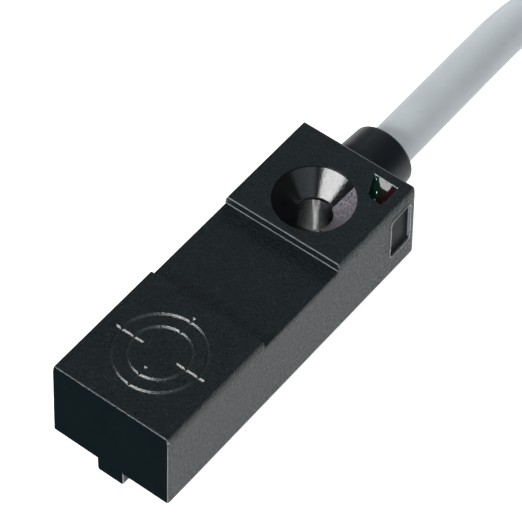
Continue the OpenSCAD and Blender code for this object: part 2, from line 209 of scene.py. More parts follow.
def cut(mesh, tools, operation="DIFFERENCE"):
    """mesh with the tool meshes cut away from it, or joined to it, one after the other."""
    for tool in tools:
        piece = bpy.data.objects.new("cutting", mesh)
        helper = bpy.data.objects.new("tool", tool)
        SCENE.collection.objects.link(piece)
        SCENE.collection.objects.link(helper)
        modifier = piece.modifiers.new("cut", "BOOLEAN")
        modifier.operation, modifier.solver, modifier.object = operation, "EXACT", helper
        depsgraph = bpy.context.evaluated_depsgraph_get()
        mesh = bpy.data.meshes.new_from_object(piece.evaluated_get(depsgraph))
        for o in (piece, helper):
            bpy.data.objects.remove(o)
        bm = bmesh.new()
        bm.from_mesh(mesh)
        bmesh.ops.remove_doubles(bm, verts=bm.verts, dist=CUT_MERGE)
        bm.to_mesh(mesh)
        bm.free()
    return mesh


def smooth(mesh, sharp_above=38):
    """Smooth shading, with edges sharper than an angle in degrees kept sharp."""
    for p in mesh.polygons:
        p.use_smooth = True
    mesh.set_sharp_from_angle(angle=math.radians(sharp_above))


def even_normals(piece):
    """Keeps the large faces flat beside their small rounded edges."""
    modifier = piece.modifiers.new("even_normals", "WEIGHTED_NORMAL")
    modifier.keep_sharp = True
    modifier.weight = 100


def rounded_block(name, low, high, r, steps=3):
    """A box with all its edges rounded."""
    rings = [
        [(x, low[1], low[2]), (x, high[1], low[2]), (x, high[1], high[2]), (x, low[1], high[2])]
        for x in (low[0], high[0])
    ]
    bm = bmesh.new()
    bm.from_mesh(loft(name, rings))
    bmesh.ops.bevel(
        bm, geom=list(bm.edges) + list(bm.verts), offset=r * MM, segments=steps,
        profile=0.5, affect="EDGES",
    )
    mesh = bpy.data.meshes.new(name)
    bm.to_mesh(mesh)
    bm.free()
    return mesh


def curve_piece(name, points, diameter, material):
    """A round curve through points, as a piece of its own."""
    data = bpy.data.curves.new(name, "CURVE")
    data.dimensions = "3D"
    data.bevel_depth = diameter / 2 * MM
    data.bevel_resolution = CURVE_SIDES
    data.resolution_u = CURVE_STEPS
    data.use_fill_caps = True
    data.twist_mode = "Z_UP"
    spline = data.splines.new("BEZIER")
    spline.bezier_points.add(len(points) - 1)
    for knot, p in zip(spline.bezier_points, points):
        knot.co = Vector(p) * MM
        knot.handle_left_type = knot.handle_right_type = "AUTO"
    piece = bpy.data.objects.new(name, data)
    SCENE.collection.objects.link(piece)
    data.materials.append(material)
    return piece


# ---- The cable's route ----

# Between neighbouring turns, the inner column's fold radius, the straight run and the layers
PITCH = 4.0
FOLD_R = 12.0
RUN = 55.0
LAYERS = 5
RUN_POINTS, FOLD_POINTS = 11, 12
HANK_X = (HANK_LOW.x + HANK_HIGH.x) / 2
HANK_Y = (HANK_LOW.y + HANK_HIGH.y - RUN) / 2
MID_R = FOLD_R + PITCH / 2
FAR_ARC = RUN + math.pi * MID_R
LAYER_Z = FLOOR_Z + PITCH / 2
# How long a change of place takes along the cable, and how far the changes down and up are before
# and after the one inwards
CHANGE = 24.0
LAG = 0.28 * CHANGE

# Straight out of the sleeve, down to the table and along it to the hank's first turn
FREE_ROUTE = [
    (0, 4.5, 4.8), (0, 8, 4.8), (0, 12, 4.8), (0, 16, 4.8), (0, 20, 4.8), (0, 24, 4.8),
    (0.05, 27, 4.75), (0.35, 30, 4.5), (1.2, 33, 3.7), (2.3, 36, 2.6), (3.3, 39, 1.5),
    (3.85, 42, 0.85), (4, 45, 0.6), (4, 48, 0.55),
]

# The end turns out of the lowest inner turn and lies inside the hank
END_TURN, END_STEPS = 18.0, 6
END_FROM = (HANK_X - FOLD_R, HANK_Y + RUN)
END_TO = (END_FROM[0] + PITCH, END_FROM[1] - END_TURN)


def hank_point(lap, along):
    """A point of the hank. along is the distance round the middle of the two columns."""
    outer = lap < LAYERS
    layer = lap if outer else 2 * LAYERS - 1 - lap
    radius = FOLD_R + (PITCH if outer else 0)
    # Near the end of each lap the cable moves on to the next place: the inner turns go down
    # first, then the top turn moves inwards, and the outer turns go up last
    change_mid = 2 * RUN + math.pi * MID_R
    if outer and lap < LAYERS - 1:
        layer += smooth_step((along - change_mid - LAG) / CHANGE + 0.5)
    elif lap == LAYERS - 1:
        radius -= PITCH * smooth_step((along - change_mid) / CHANGE + 0.5)
    elif lap < 2 * LAYERS - 1:
        layer -= smooth_step((along - change_mid + LAG) / CHANGE + 0.5)
    z = LAYER_Z + PITCH * layer
    if along < RUN:
        return (HANK_X + radius, HANK_Y + along, z)
    if along < FAR_ARC:
        a = (along - RUN) / MID_R
        return (HANK_X + radius * math.cos(a), HANK_Y + RUN + radius * math.sin(a), z)
    if along < FAR_ARC + RUN:
        return (HANK_X - radius, HANK_Y + RUN - (along - FAR_ARC), z)
    a = math.pi + (along - FAR_ARC - RUN) / MID_R
    return (HANK_X + radius * math.cos(a), HANK_Y + radius * math.sin(a), z)


def lap_places():
    """Where one lap has points, on its two straight runs and its two folds."""
    runs = [RUN * i / RUN_POINTS for i in range(RUN_POINTS)]
    folds = [math.pi * MID_R * i / FOLD_POINTS for i in range(FOLD_POINTS)]
    return (
        runs + [RUN + d for d in folds] + [FAR_ARC + d for d in runs]
        + [FAR_ARC + RUN + d for d in folds]
    )


def cable_points():
    """The whole route: the free part, the laps of the hank and the end inside it."""
    points = list(FREE_ROUTE)
    for lap in range(2 * LAYERS):
        for along in lap_places():
            if lap == 2 * LAYERS - 1 and along > FAR_ARC:
                break
            points.append(hank_point(lap, along))
    for i in range(1, END_STEPS + 1):
        t = i / END_STEPS
        points.append((END_FROM[0] + PITCH * smooth_step(t), END_FROM[1] - END_TURN * t, LAYER_Z))
    return points


# ---- Materials ----


def new_material(name, color, roughness, **sockets):
    """A Principled material, its node tree and its shader; sockets are set by name with _ for a space."""
    m = bpy.data.materials.new(name)
    m.use_nodes = True
    shader = m.node_tree.nodes["Principled BSDF"]
    shader.inputs["Base Color"].default_value = (*color, 1)
    shader.inputs["Roughness"].default_value = roughness
    for key, value in sockets.items():
        shader.inputs[key.replace("_", " ")].default_value = value
    return m, m.node_tree, shader


def add_node(tree, kind, **inputs):
    """A shader node with some of its inputs set."""
    made = tree.nodes.new("ShaderNode" + kind)
    for key, value in inputs.items():
        made.inputs[key].default_value = value
    return made


def noise(tree, scale, detail=3.0, roughness=0.55):
    """A noise texture in the object's own millimetres."""
    place = tree.nodes.new("ShaderNodeTexCoord")
    fit = add_node(tree, "Mapping", Scale=(1 / MM, 1 / MM, 1 / MM))
    tree.links.new(place.outputs["Object"], fit.inputs["Vector"])
    made = add_node(tree, "TexNoise", Scale=scale, Detail=detail, Roughness=roughness)
    tree.links.new(fit.outputs["Vector"], made.inputs["Vector"])
    return made.outputs["Fac"]


def ramp(tree, fac, low, high, start=0.3, end=0.7):
    """Colours or greys between two values of a factor."""
    made = tree.nodes.new("ShaderNodeValToRGB")
    made.color_ramp.elements[0].position, made.color_ramp.elements[1].position = start, end
    for element, value in zip(made.color_ramp.elements, (low, high)):
        element.color = (*value, 1) if hasattr(value, "__len__") else (value, value, value, 1)
    tree.links.new(fac, made.inputs["Fac"])
    return made.outputs["Color"]


def bump(tree, shader, height, strength, distance):
    """Fine relief from a texture's value."""
    made = add_node(tree, "Bump", Strength=strength, Distance=distance * MM)
    tree.links.new(height, made.inputs["Height"])
    tree.links.new(made.outputs["Normal"], shader.inputs["Normal"])


def moulded(name, color, roughness, grain=6.0, depth=0.01, vary=0.25, rough_vary=0.08, **sockets):
    """Moulded plastic: fine grain, and colour and gloss that vary a little."""
    m, tree, shader = new_material(name, color, roughness, **sockets)
    broad = noise(tree, scale=0.35, detail=2)
    tint = ramp(tree, broad, [c * (1 - vary) for c in color], [c * (1 + vary) for c in color])
    tree.links.new(tint, shader.inputs["Base Color"])
    fine = noise(tree, scale=grain, detail=4, roughness=0.6)
    gloss = ramp(tree, fine, roughness - rough_vary, roughness + rough_vary)
    tree.links.new(gloss, shader.inputs["Roughness"])
    bump(tree, shader, fine, 1.0, depth)
    return m


def metal(name, color, roughness):
    """Bare metal with a slightly uneven colour."""
    m, tree, shader = new_material(name, color, roughness, Metallic=1.0)
    fine = noise(tree, scale=6.0)
    tint = ramp(tree, fine, [c * 0.85 for c in color], [min(1, c * 1.1) for c in color])
    tree.links.new(tint, shader.inputs["Base Color"])
    bump(tree, shader, fine, 0.5, 0.01)
    return m


def sheen_painted_material():
    """The rougher part of the countersink: blotches of lighter grey that paint a sheen on it."""
    m, tree, shader = new_material("sheen_painted_black", (0.1, 0.095, 0.108), 0.5)
    blotches = noise(tree, scale=6.0, detail=5, roughness=0.7)
    tint = ramp(tree, blotches, (0.012, 0.012, 0.014), (0.30, 0.28, 0.32), 0.38, 0.68)
    tree.links.new(tint, shader.inputs["Base Color"])
    tree.links.new(ramp(tree, blotches, 0.25, 0.6), shader.inputs["Roughness"])
    bump(tree, shader, blotches, 1.0, 0.03)
    return m


def bore_material():
    """Polished black with fine ridges round it."""
    m, tree, shader = new_material("bore_black", (0.005, 0.009, 0.008), 0.12, Specular_IOR_Level=1.0)
    # These coordinates are in metres, and so is the scale
    place = tree.nodes.new("ShaderNodeTexCoord")
    ridges = add_node(tree, "TexWave", Scale=3300.0, Distortion=0.3, Detail=1.0)
    ridges.bands_direction = "Z"
    tree.links.new(place.outputs["Object"], ridges.inputs["Vector"])
    bump(tree, shader, ridges.outputs["Fac"], 1.0, 0.04)
    return m


def window_material():
    """Smoky clear resin: green behind its left part and red behind its right part."""
    m, tree, shader = new_material("window_resin", (0.01, 0.02, 0.015), 0.05, Specular_IOR_Level=0.35)
    place = tree.nodes.new("ShaderNodeTexCoord")
    split = tree.nodes.new("ShaderNodeSeparateXYZ")
    tree.links.new(place.outputs["Object"], split.inputs["Vector"])
    across = add_node(tree, "MapRange", **{"From Min": 2.6 * MM, "From Max": 4.6 * MM})
    tree.links.new(split.outputs["X"], across.inputs["Value"])
    tint = ramp(tree, across.outputs["Result"], (0.002, 0.016, 0.011), (0.016, 0.004, 0.005))
    tree.links.new(tint, shader.inputs["Base Color"])
    bump(tree, shader, noise(tree, scale=1.2, detail=2), 0.15, 0.02)
    return m


def sheath_material():
    """Soft light grey sheath with a faint unevenness."""
    color = (0.44, 0.475, 0.50)
    m, tree, shader = new_material("cable_sheath", color, 0.5, Specular_IOR_Level=0.4)
    broad = noise(tree, scale=0.25)
    tint = ramp(tree, broad, [c * 0.94 for c in color], [c * 1.05 for c in color])
    tree.links.new(tint, shader.inputs["Base Color"])
    bump(tree, shader, noise(tree, scale=5.0), 0.6, 0.006)
    return m


BLACK = (0.004, 0.0072, 0.0086)
COOL = (0.84, 0.96, 1.0, 1)
textured_black = moulded(
    "textured_black", BLACK, 0.38, grain=4.2, depth=0.16, vary=0.15, rough_vary=0.2,
    Specular_IOR_Level=0.24, Specular_Tint=COOL,
)
smooth_black = moulded(
    "smooth_black", BLACK, 0.38, grain=3.0, depth=0.002, vary=0.1, rough_vary=0.03,
    Specular_IOR_Level=0.0,
)
polished_black = moulded(
    "polished_black", (0.006, 0.0065, 0.008), 0.14, grain=5.0, depth=0.012, vary=0.2, rough_vary=0.07,
    Specular_IOR_Level=0.7,
)
bore_black = bore_material()
sheen_painted_black = sheen_painted_material()
# The grooves of the target mark: glossy, and a lighter grey than the body that paints the highlight on
# their walls
groove_painted_highlight = moulded(
    "groove_painted_highlight", (0.016, 0.02, 0.021), 0.24, grain=8.0, depth=0.03, rough_vary=0.12,
    Specular_IOR_Level=1.0,
)
# A glossier, lighter grey for edges: the lighter grey paints the highlight lines along the window bevels,
# the steps of the recess and the rear top edge
edge_painted_highlight = moulded(
    "edge_painted_highlight", (0.05, 0.054, 0.057), 0.22, grain=5.0,
    Specular_IOR_Level=1.0, Specular_Tint=COOL,
)
# A light grey on the rounded upright edges of the sensing end, painting the highlight line along them
upright_painted_highlight = moulded("upright_painted_highlight", (0.16, 0.17, 0.175), 0.3, grain=5.0, vary=0.3)
sleeve_black = moulded(
    "sleeve_black", (0.007, 0.009, 0.012), 0.42, grain=4.0, depth=0.003, vary=0.15, rough_vary=0.05,
    Specular_IOR_Level=0.3, Specular_Tint=COOL,
)
resin_black = moulded("resin_black", (0.008, 0.008, 0.01), 0.14, grain=0.8, depth=0.02, vary=0.2)
tie_black = moulded("tie_black", (0.012, 0.012, 0.013), 0.4, grain=4.0, depth=0.004)
window_resin = window_material()
side_window_resin = moulded(
    "side_window_resin", (0.008, 0.011, 0.011), 0.2, depth=0.004, Specular_IOR_Level=0.02,
)
# The bead's light grey paints the highlight of the light outline round the side window
bead_painted_highlight = moulded(
    "bead_painted_highlight", (0.16, 0.175, 0.18), 0.25, grain=5.0, vary=0.4, Specular_IOR_Level=0.8,
)
sheath_grey = sheath_material()
core_colors = {
    "brown": moulded("core_brown", (0.13, 0.05, 0.02), 0.4, grain=4.0, depth=0.003),
    "blue": moulded("core_blue", (0.02, 0.09, 0.42), 0.4, grain=4.0, depth=0.003),
    "black": moulded("core_black", (0.01, 0.01, 0.011), 0.4, grain=4.0, depth=0.003),
}
tinned = metal("tinned_copper", (0.68, 0.68, 0.70), 0.3)

# ---- Cable, cores and ties ----

# Where each bare core is: distance along it, distance from the middle one, and heights above the
# table of the outer two and of the middle one
LEAD_COURSE = (
    (-1.2, 0.62, 1.62, 2.70), (0, 0.62, 1.62, 2.70), (3.5, 1.00, 1.25, 2.05), (8, 1.36, 0.80, 0.95),
    (14, 1.55, 0.66, 0.67), (24, 2.00, 0.66, 0.66), (32, 2.10, 0.66, 0.66), (39, 2.27, 0.66, 0.66),
)
LEAD_HEADING = math.radians(-83)
TIE_Y = HANK_Y + RUN / 2
# Half of a tie's width across the hank's two columns, on its outside and on its inside
TIE_HALF = (TIES_SIDE_X - (HANK_X + FOLD_R - PITCH / 2)) / 2
TIE_OUTER, TIE_INNER = TIE_HALF - 0.02, TIE_HALF - TIE_T - 0.05


def add_leads():
    """The three bare cores, fanned a little on the table, with tinned ends."""
    pieces = []
    way = Vector((math.cos(LEAD_HEADING), math.sin(LEAD_HEADING), 0))
    for side, color in ((-1, "brown"), (0, "black"), (1, "blue")):
        points = []
        for along, spread, outer_z, middle_z in LEAD_COURSE:
            height = FLOOR_Z + (outer_z if side else middle_z)
            points.append(Vector((END_TO[0] + side * spread, END_TO[1], height)) + way * along)
        lead = curve_piece(f"flying_lead_{color}", points, CORE_D, core_colors[color])
        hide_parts(f"lead_{color}")
        # The tip starts a little inside its core
        end = points[-1]
        tip_points = [end - way * 0.5, end + way * 2, end + way * TIP_LEN]
        tip = curve_piece(f"tinned_tip_{color}", tip_points, TIP_D, tinned)
        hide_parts("lead_tips")
        pieces += [lead, tip]
    return pieces


def tie_outline(x, y, half, r):
    """A tall rounded loop at y, round the cables of one side of the hank, reaching half to each
    side of x."""
    inwards = TIE_OUTER - half
    low, high = FLOOR_Z + 0.02 + inwards, HANK_HIGH.z + TIE_T - inwards
    corners = ((1, high - r, 0), (-1, high - r, 90), (-1, low + r, 180), (1, low + r, 270))
    return [
        (x + px, y, pz)
        for side, mid_z, start in corners
        for px, pz in arc(side * (half - r), mid_z, r, start, start + 90, 6)
    ]


def tie_band(name, x):
    """A thin closed band with bevelled edges."""
    half_w = TIE_W / 2
    edges = [(-half_w, TIE_BEVEL), (TIE_BEVEL - half_w, 0), (half_w - TIE_BEVEL, 0), (half_w, TIE_BEVEL)]
    rings = [tie_outline(x, TIE_Y + y, TIE_OUTER - inset, TIE_OUTER_R) for y, inset in edges]
    rings += [tie_outline(x, TIE_Y + y, TIE_INNER + inset, TIE_INNER_R) for y, inset in reversed(edges)]
    mesh = loft(name, rings, looped=True)
    smooth(mesh, 50)
    return mesh


def tie_head(name, x):
    """A small block on the band with a slot through it."""
    top = HANK_HIGH.z
    half_x, half_y, low, high = 1.75, 2.25, top + 0.3, top + 3.0
    slot_x, slot_y, slot_low, slot_high = 1.3, 3, top + 1.2, top + 1.9
    head = rounded_block(name, (x - half_x, TIE_Y - half_y, low), (x + half_x, TIE_Y + half_y, high), 0.35)
    slot_corners = (x - slot_x, TIE_Y - slot_y, slot_low), (x + slot_x, TIE_Y + slot_y, slot_high)
    mesh = cut(head, [rounded_block("slot", *slot_corners, 0.2)])
    smooth(mesh, 40)
    return mesh


def add_ties():
    """A thin band with a small head round each side of the hank."""
    pieces = []
    for number, side in enumerate((-1, 1)):
        for part, make in (("band", tie_band), ("head", tie_head)):
            name = f"tie_{part}_{number}"
            piece = add_object(name, make(name, HANK_X + side * MID_R), "tie_nylon", tie_black)
            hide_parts("cable_ties")
            pieces.append(piece)
    return pieces


cable = curve_piece("cable", cable_points(), CABLE_D, sheath_grey)
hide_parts("cable_sheath", "cable_hank")
cable_trim = add_leads() + add_ties()

# ---- Housing ----

# The angles of a small quarter round's points
ROUNDS = [math.radians(a) for a in (0, 22.5, 45, 67.5, 90)]
# The first and last cross-sections between the rounded ends
FIRST_STATION, LAST_STATION = FRONT_Y + 1.5, REAR_Y - 0.7
# How far the points of the leaning stretch are below the edge, and how high those of the side are
CROWN_DROPS = (0.1, 0.25, 0.4, 0.6, 0.8, 1.0)
SIDE_HEIGHTS = (5.5, 4.0, 2.5, 1.0)
# The broken edges at the screw hole's underside and at the foot of its cone, and the rounded lip
HOLE_ROUND, THROAT, LIP = 0.12, 0.12, 0.05
# The part of the countersink that is rougher and has a painted sheen, in degrees from +X
SHEEN_FROM, SHEEN_TO = -40, 60


def side_x(z, top):
    """Half the housing's width at height z, where its top is at height top."""
    x = HALF_W - z * math.tan(SIDE_DRAFT)
    over = z - (top - CROWN_H * (top / TOP_Z) ** 6)
    return x - over * over / (2 * CROWN_R) if over > 0 else x


def section(top, inset=0.0):
    """Half of the housing's cross-section, from its top middle to its bottom middle: drafted
    sides that lean in a little near the top. inset shrinks it evenly."""
    high, low, r = top - inset, inset, SMALL_EDGE
    heights = [high - r - drop for drop in CROWN_DROPS] + [*SIDE_HEIGHTS, low + 2.5 * FOOT_EDGE]
    points = [(0, high)] + arc(side_x(high, top) - inset - r, high - r, r, 90, 15, 5)
    points += [(side_x(z, top) - inset, z) for z in heights]
    points += arc(HALF_W - inset - FOOT_EDGE, low + FOOT_EDGE, FOOT_EDGE, 0, -90, 3)
    return points + [(0, low)]


def full_section(top, inset=0.0):
    """The whole cross-section."""
    right = section(top, inset)
    return right + [(-x, z) for x, z in right[-2:0:-1]]


def end_ring(y_end, inward, angle):
    """One cross-section of the rounded edge round an end face. The upright edges are rounder than
    the top one."""
    inset = SMALL_EDGE * (1 - math.sin(angle))
    ring = []
    for x, z in full_section(TOP_Z, inset):
        upright = smooth_step((TOP_Z - z) / CROWN_H) if abs(x) > HALF_W - 1 else 0
        run = SMALL_EDGE + (UPRIGHT_EDGE - SMALL_EDGE) * upright
        ring.append((x, y_end + inward * (run * (1 - math.cos(angle)) + z * math.tan(END_DRAFT)), z))
    return ring


def quarter_round(r):
    """Points of a quarter round, as distances from the two faces that it joins."""
    return [(r * (1 - math.sin(a)), r * (1 - math.cos(a))) for a in ROUNDS]


def step_stations(wall_y, inward):
    """Places along the body and heights of the top, from the top down one step into the recess.
    inward is 1 or -1, the way from the step into the recess."""
    edge = [(wall_y - inward * along, TOP_Z - down) for along, down in quarter_round(STEP_ROUND)]
    foot = [
        (wall_y + inward * (STEP_LEAN + along), RECESS_Z + up)
        for up, along in quarter_round(STEP_FOOT)
    ]
    return edge + foot


def housing_rings():
    """Cross-sections from the sensing end to the cable end."""
    stations = [(FIRST_STATION, TOP_Z)] + step_stations(RECESS_FRONT, 1)
    stations += [((RECESS_FRONT + RECESS_REAR) / 2, RECESS_Z)]
    stations += step_stations(RECESS_REAR, -1)[::-1] + [(LAST_STATION, TOP_Z)]
    rings = [end_ring(FRONT_Y, 1, a) for a in ROUNDS]
    rings += [[(x, y, z) for x, z in full_section(top)] for y, top in stations]
    return rings + [end_ring(REAR_Y, -1, a) for a in reversed(ROUNDS)]


def tab_mesh():
    """The locating tab, with rounded bottom corners. It stands a little way up in the front wall, and
    its face is a hair behind the wall's, so that the two join cleanly."""
    r, low, high, hair = TAB_ROUND, FLOOR_Z, 0.4, 0.002
    outline = [(TAB_HALF_W, high)] + arc(TAB_HALF_W - r, low + r, r, 0, -90, 6)
    outline += arc(r - TAB_HALF_W, low + r, r, -90, -180, 6) + [(-TAB_HALF_W, high)]
    rings = []
    for y, inset in ((hair, TAB_BEVEL), (TAB_BEVEL, 0), (TAB_T - TAB_BEVEL, 0), (TAB_T, TAB_BEVEL)):
        narrower = 1 - inset / TAB_HALF_W
        rings.append([(x * narrower, FRONT_Y + y, max(z, low + inset)) for x, z in outline])
    return loft("tab", rings)


def groove_ring(radius):
    """A round groove with walls at 45 degrees and a narrow flat bottom."""
    wide = GROOVE_FLAT + GROOVE_DEPTH + GROOVE_OVER
    profile = [
        (radius - wide, TOP_Z + GROOVE_OVER), (radius - GROOVE_FLAT, TOP_Z - GROOVE_DEPTH),
        (radius + GROOVE_FLAT, TOP_Z - GROOVE_DEPTH), (radius + wide, TOP_Z + GROOVE_OVER),
    ]
    # Turned half a side, so that no corner falls on a tick
    sides = 160
    place = Matrix.Translation((0, TARGET_Y, 0)) @ Matrix.Rotation(math.pi / sides, 4, "Z")
    return turned("groove", profile, sides, place)


def groove_tick(angle):
    """A straight groove with the same walls, also at its ends, a little less deep."""
    turn = Matrix.Rotation(math.radians(angle), 4, "Z")
    depth, over = GROOVE_DEPTH - 0.012, 0.9 * GROOVE_OVER
    rings = []
    for grow, z in ((0, TOP_Z - depth), (depth + over, TOP_Z + over)):
        near, far, side = TICK_INNER - grow, TICK_OUTER + grow, GROOVE_FLAT + grow
        corners = ((near, -side, z), (far, -side, z), (far, side, z), (near, side, z))
        rings.append([turn @ Vector(corner) + Vector((0, TARGET_Y, 0)) for corner in corners])
    return loft("tick", rings)


def screw_tool():
    """What the screw hole and its countersink take away, with a slightly rounded rim and throat."""
    wide = HOLE_R + HOLE_ROUND
    profile = [(0, -1), (wide, -1), (wide, 0.0), (HOLE_R, HOLE_ROUND), (HOLE_R, SINK_LOW - THROAT)]
    profile += [(HOLE_R + 0.04, SINK_LOW + 0.02), (HOLE_R + THROAT, SINK_LOW + THROAT)]
    profile += [(SINK_R - 0.03, SINK_TOP - 0.03), (SINK_R, SINK_TOP + 0.01)]
    profile += arc(SINK_R + LIP, TOP_Z - LIP + 0.001, LIP, 180, 90, 4)
    profile += [(SINK_R + LIP, TOP_Z + 1), (0, TOP_Z + 1)]
    return turned("screw_tool", profile)


def grown(outline, by):
    """A convex outline with every side moved out by the same distance."""
    made = []
    turn = sum(p[0] * q[1] - q[0] * p[1] for p, q in zip(outline, outline[1:] + outline[:1]))
    for k, corner in enumerate(outline):
        before, after = outline[k - 1], outline[(k + 1) % len(outline)]
        sides = [Vector(corner) - Vector(before), Vector(after) - Vector(corner)]
        out = [math.copysign(1, turn) * Vector((d.y, -d.x)).normalized() for d in sides]
        made.append(tuple(Vector(corner) + (out[0] + out[1]) * by / (1 + out[0].dot(out[1]))))
    return made


def prism(name, outline, low, high, axis="Z", flare_at=None):
    """An outline pushed along Z, or an outline in (y, z) pushed along X. It can open out at
    45 degrees from flare_at to its high end."""
    levels = [(low, outline), (high, outline)]
    if flare_at is not None:
        levels = [(low, outline), (flare_at, outline), (high, grown(outline, high - flare_at))]
    if axis == "Z":
        rings = [[(x, y, h) for x, y in points] for h, points in levels]
    else:
        rings = [[(h, y, z) for y, z in points] for h, points in levels]
    return loft(name, rings)


def cavity_tool():
    """The space inside the housing, without the tube round the screw hole."""
    front, rear = FRONT_Y + WALL, REAR_Y - WALL
    low, under_coil = -1, TOP_Z - SENSING_WALL
    under_recess, under_top = RECESS_Z - WALL, TOP_Z - WALL
    outline = [
        (front, low), (rear, low), (rear, under_top), (RECESS_REAR + WALL, under_top),
        (RECESS_REAR + WALL, under_recess), (RECESS_FRONT - WALL, under_recess),
        (RECESS_FRONT - WALL, under_coil), (front, under_coil),
    ]
    space = prism("cavity", outline, WALL - HALF_W, HALF_W - WALL, "X")
    # The tube widens round the countersink
    tube = [(0, low - 1), (BOSS_R, low - 1), (BOSS_R, SINK_LOW - 0.5)]
    tube += [(SINK_R + 0.7, SINK_TOP), (0, SINK_TOP)]
    return cut(space, [turned("boss", tube, 96)])


def rear_tool():
    """The round opening in the cable end."""
    low, high = REAR_Y - 3, REAR_Y + 1
    profile = [(0, low), (SLEEVE_NECK_R, low), (SLEEVE_NECK_R, high), (0, high)]
    return turned("rear_hole", profile, 64, along_cable())


def window_tools():
    """The two window openings, opening out into a bevel at the surface."""
    over, top_low, side_low = 0.05, TOP_Z - WALL - 0.1, HALF_W - WALL - 0.1
    return [
        prism("top_opening", TOP_WINDOW, top_low, TOP_Z + over, "Z", TOP_Z - TOP_BEVEL),
        prism("side_opening", SIDE_WINDOW, side_low, HALF_W + over, "X", HALF_W - SIDE_BEVEL),
    ]


HOUSING_FINISHES = [
    textured_black, smooth_black, polished_black, groove_painted_highlight, edge_painted_highlight, upright_painted_highlight, bore_black,
    sheen_painted_black,
]


def in_frame(c, n):
    """Whether a face is in the bevel round an indicator window."""
    if min(abs(n.x), abs(n.y), abs(n.z)) > 0.9 or c.y < 2.3 or c.y > 5.9:
        return False
    on_side = HALF_W - 0.35 < c.x < HALF_W and 0.2 < n.x < 0.9 and c.z < 7.1
    on_top = TOP_Z - 0.12 < c.z < TOP_Z - 0.005 and 0.2 < n.z < 0.95 and 2.0 < c.x < 4.9
    return on_side or on_top


def housing_finish(c, n):
    """The finish of the housing's face with centre c and normal n, or a lighter grey that paints a
    highlight or sheen on it. The margins take in the small rounds at each feature's edges."""
    from_axis, from_mark = math.hypot(c.x, c.y), math.hypot(c.x, c.y - TARGET_Y)
    in_bore = from_axis < HOLE_R + 0.1 and c.z < SINK_LOW - 0.1
    in_sink = from_axis < SINK_R + 0.04 and c.z < TOP_Z - 0.01 and n.x * c.x + n.y * c.y < 0.01
    in_mark = from_mark < TICK_OUTER + 0.3 and TOP_Z - 0.2 < c.z < TOP_Z - 0.001
    on_sensing_end = n.y < -0.8 and c.y < FRONT_Y + 0.4
    on_step_edge = c.y < RECESS_REAR + 0.3 and n.y < -0.05 and n.z > 0.08 and c.z > TOP_Z - 1
    on_rear_edge = c.y > REAR_Y - 0.5 and 0.05 < n.y < 0.9 and n.z > 0.3
    on_upright = c.y < FRONT_Y + 0.5 and c.z < TOP_Z - 0.8 and abs(n.x) > 0.5 and n.y < -0.5
    if in_bore:
        return bore_black
    if in_sink:
        # This part is rougher, and its lighter grey blotches are painted sheen
        in_sheen_part = SHEEN_FROM < math.degrees(math.atan2(c.y, c.x)) < SHEEN_TO
        return sheen_painted_black if in_sheen_part else polished_black
    if on_sensing_end:
        return smooth_black
    if in_mark:
        return groove_painted_highlight
    # The window bevels, the step edges and the rear top edge get a lighter grey that paints their
    # highlight lines
    if in_frame(c, n) or on_step_edge or on_rear_edge:
        return edge_painted_highlight
    # The upright edges of the sensing end get a light grey that paints their highlight line
    return upright_painted_highlight if on_upright else textured_black


def add_housing():
    """The moulded shell with everything that is cut into it."""
    mesh = cut(loft("housing_shell", housing_rings()), [tab_mesh()], "UNION")
    tools = [cavity_tool(), rear_tool(), screw_tool(), *window_tools()]
    tools += [groove_tick(a) for a in (0, 90, 180, 270)] + [groove_ring(r) for r in MARK_RADII]
    mesh = cut(mesh, tools)
    smooth(mesh, 32)
    mesh.materials.clear()
    piece = add_object("housing_shell", mesh, "housing_plastic", *HOUSING_FINISHES)
    even_normals(piece)
    for p in mesh.polygons:
        p.material_index = HOUSING_FINISHES.index(housing_finish(p.center / MM, p.normal))
    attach(piece, "root")
    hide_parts("housing")


add_housing()

# ---- Indicator windows ----


def dished_pane(name, corners, place, rim, depth, bottom, power, steps=28):
    """A four-sided pane with a hollow, glossy surface that climbs to its edges.

    corners are two-dimensional, and place maps (u, v, height) to a point. rim(u, v) is the height
    of the surface's edge, depth how far it sinks, and bottom the height of its underside. power is
    how flat the hollow is each way.
    """
    eased = [(1 - math.cos(math.pi * i / steps)) / 2 for i in range(steps + 1)]
    (ax, ay), (bx, by), (cx, cy), (dx, dy) = corners
    spots, verts = [], []
    for s in eased:
        for t in eased:
            x = (ax * (1 - s) + bx * s) * (1 - t) + (dx * (1 - s) + cx * s) * t
            y = (ay * (1 - s) + by * s) * (1 - t) + (dy * (1 - s) + cy * s) * t
            hollow = (1 - abs(2 * s - 1) ** power[0]) * (1 - abs(2 * t - 1) ** power[1])
            spots.append((x, y))
            verts.append(place(x, y, rim(x, y) - depth * hollow))
    n = steps + 1
    faces = [
        (i * n + j, i * n + j + 1, (i + 1) * n + j + 1, (i + 1) * n + j)
        for i in range(steps)
        for j in range(steps)
    ]
    # The walls go down from the surface's four sides to the underside
    edge = [i * n for i in range(n)] + [steps * n + j for j in range(1, n)]
    edge += [i * n + steps for i in range(steps - 1, -1, -1)] + list(range(steps - 1, 0, -1))
    base, m = len(verts), len(edge)
    verts += [place(*spots[k], bottom) for k in edge]
    faces += [(edge[k], edge[(k + 1) % m], base + (k + 1) % m, base + k) for k in range(m)]
    faces.append(tuple(range(base, base + m)))
    mesh = mesh_from(name, verts, faces)
    smooth(mesh, 50)
    return mesh


def top_pane(name):
    """The deeply hollow pane in the top."""
    return dished_pane(
        name, TOP_WINDOW, lambda x, y, h: (x, y, h), rim=lambda x, y: TOP_Z - 0.03, depth=0.95,
        bottom=GUIDE_HIGH[2], power=(4, 1.25),
    )


